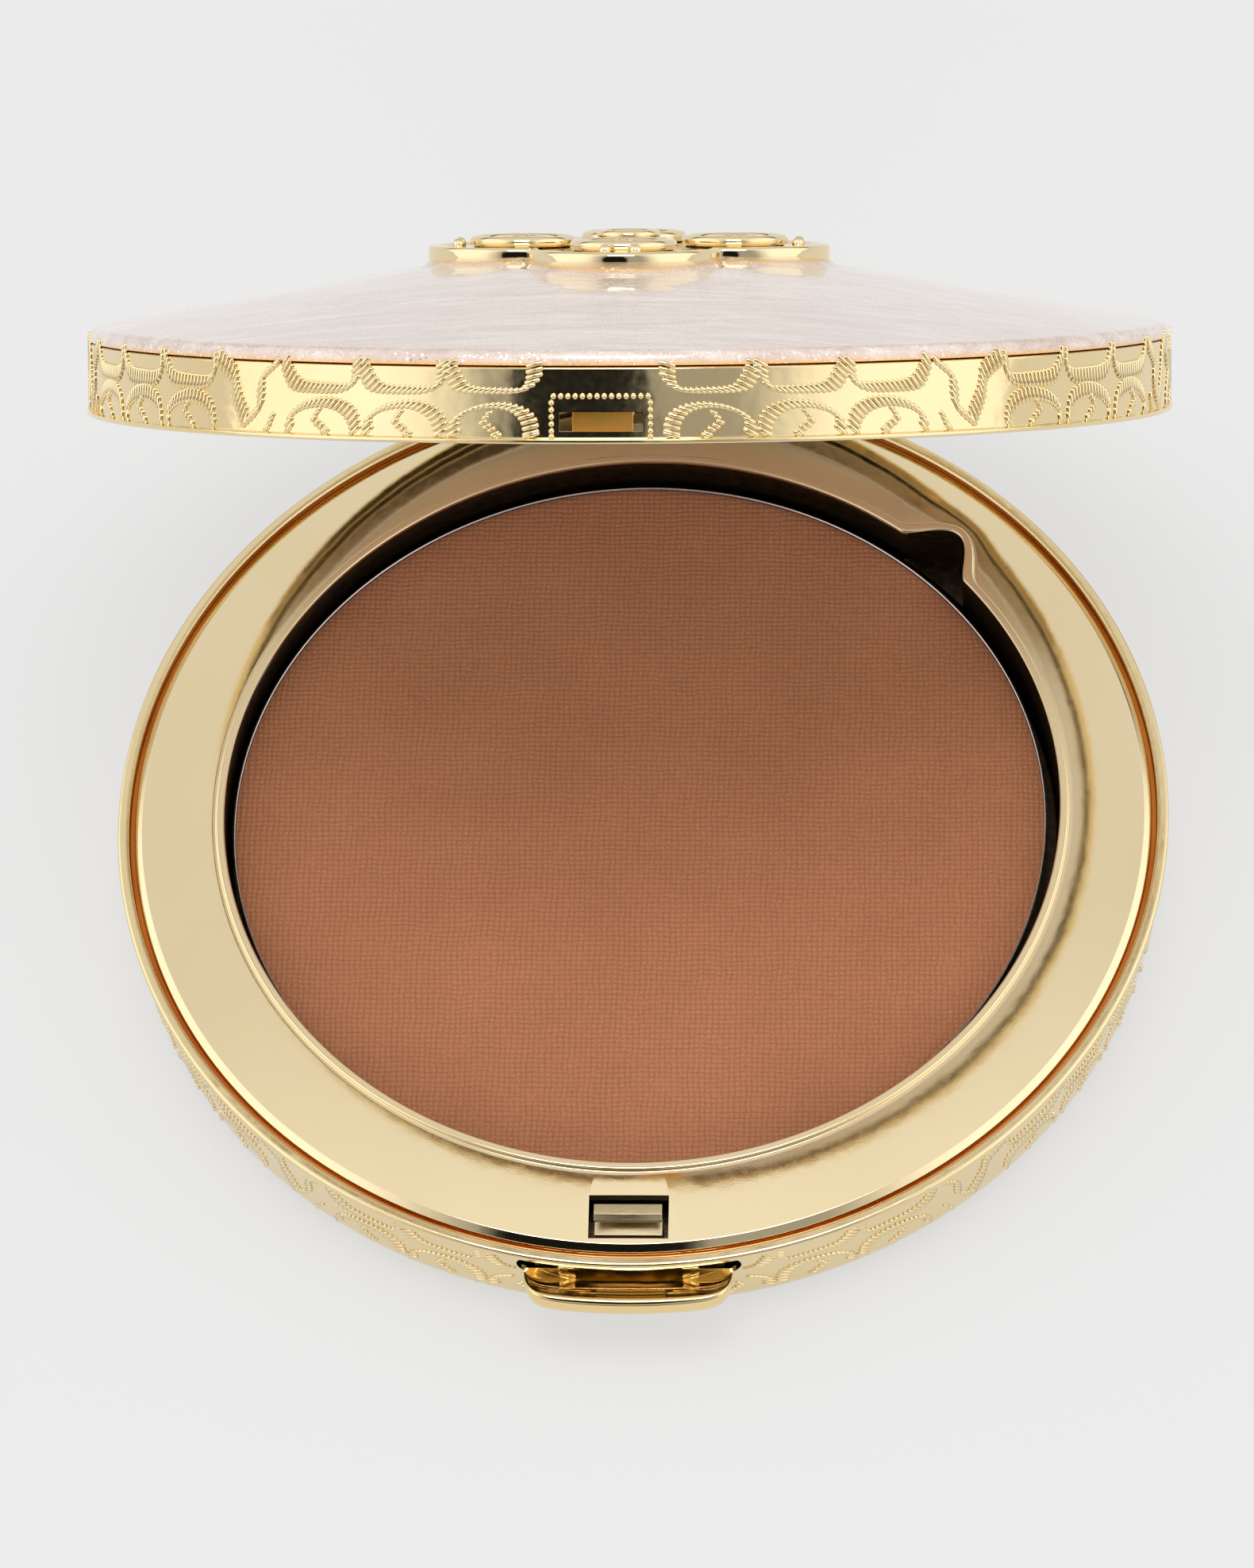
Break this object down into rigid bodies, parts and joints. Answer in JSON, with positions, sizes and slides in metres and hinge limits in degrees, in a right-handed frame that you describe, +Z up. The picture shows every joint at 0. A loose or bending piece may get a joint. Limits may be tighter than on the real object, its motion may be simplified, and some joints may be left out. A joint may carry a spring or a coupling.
{
  "type": "powder compact",
  "caption": "Round gold pressed-powder compact: hinged enamel-topped lid with lobed emblem and mirror, polished tray with powder pan, push latch.",
  "frame": {"origin": "centre of the underside, on the flat bottom disc", "axes": "+Z up, -Y to the front where the thumb tab is, +Y to the hinge, +X to the right seen from the front"},
  "size_m": [0.08, 0.0876, 0.0745],
  "materials": {
    "gold_relief": "gold plated, raised lace-like relief, bright",
    "gold_polished": "pale gold, mirror polished",
    "gold_emblem": "gold plated, polished",
    "bronze_hook": "dull bronze-gold, slightly worn",
    "pearl_enamel": "pale pink pearl enamel with fine glitter, glossy",
    "pan_metal": "thin tinned steel, satin",
    "bronze_powder": "pressed bronze-brown powder with a fine woven emboss, matt",
    "mirror_glass": "silvered glass",
    "foam_pad": "adhesive foam",
    "steel": "plain steel",
    "magnet_dark": "dark sintered magnet",
    "guide_plastic": "dark acetal"
  },
  "bodies": {
    "base": {"base_shell": "gold_relief", "bottom_disc": "gold_polished", "ballast_plate": "steel", "pan_magnet": "magnet_dark", "inner_tray": "gold_polished", "powder_pan": "pan_metal", "powder_cake": "bronze_powder", "base_hinge_knuckle": "gold_polished", "hinge_pin": "steel", "latch_guide": "guide_plastic", "latch_spring_left": "steel", "latch_spring_right": "steel"},
    "latch": {"push_tab": "gold_polished", "latch_slider": "bronze_hook", "tab_rivet_left": "steel", "tab_rivet_right": "steel"},
    "lid": {"lid_shell": "gold_relief", "mirror_frame": "pan_metal", "lid_hinge_knuckle_left": "gold_polished", "lid_hinge_knuckle_right": "gold_polished", "emblem_plaque": "gold_emblem", "emblem_boss": "gold_emblem", "emblem_loop_1": "gold_emblem", "emblem_loop_2": "gold_emblem", "emblem_loop_3": "gold_emblem", "emblem_loop_4": "gold_emblem", "emblem_rivet_left": "gold_emblem", "emblem_rivet_right": "gold_emblem", "lid_catch": "gold_polished", "lid_enamel": "pearl_enamel", "mirror": "mirror_glass", "mirror_pad": "foam_pad"}
  },
  "joints": [
    {"name": "lid_hinge", "type": "hinge", "parent": "base", "child": "lid", "pos_m": [0, 0.0404, 0.00875], "axis": [-1, 0, 0], "range_deg": [-50.5, 69.5]},
    {"name": "latch_press", "type": "slide", "parent": "base", "child": "latch", "axis": [0, 1, 0], "range_m": [0, 0.001], "stiffness_N_per_m": 1500, "springref_m": -0.0004, "deforming": ["latch_spring_left", "latch_spring_right"]}
  ]
}
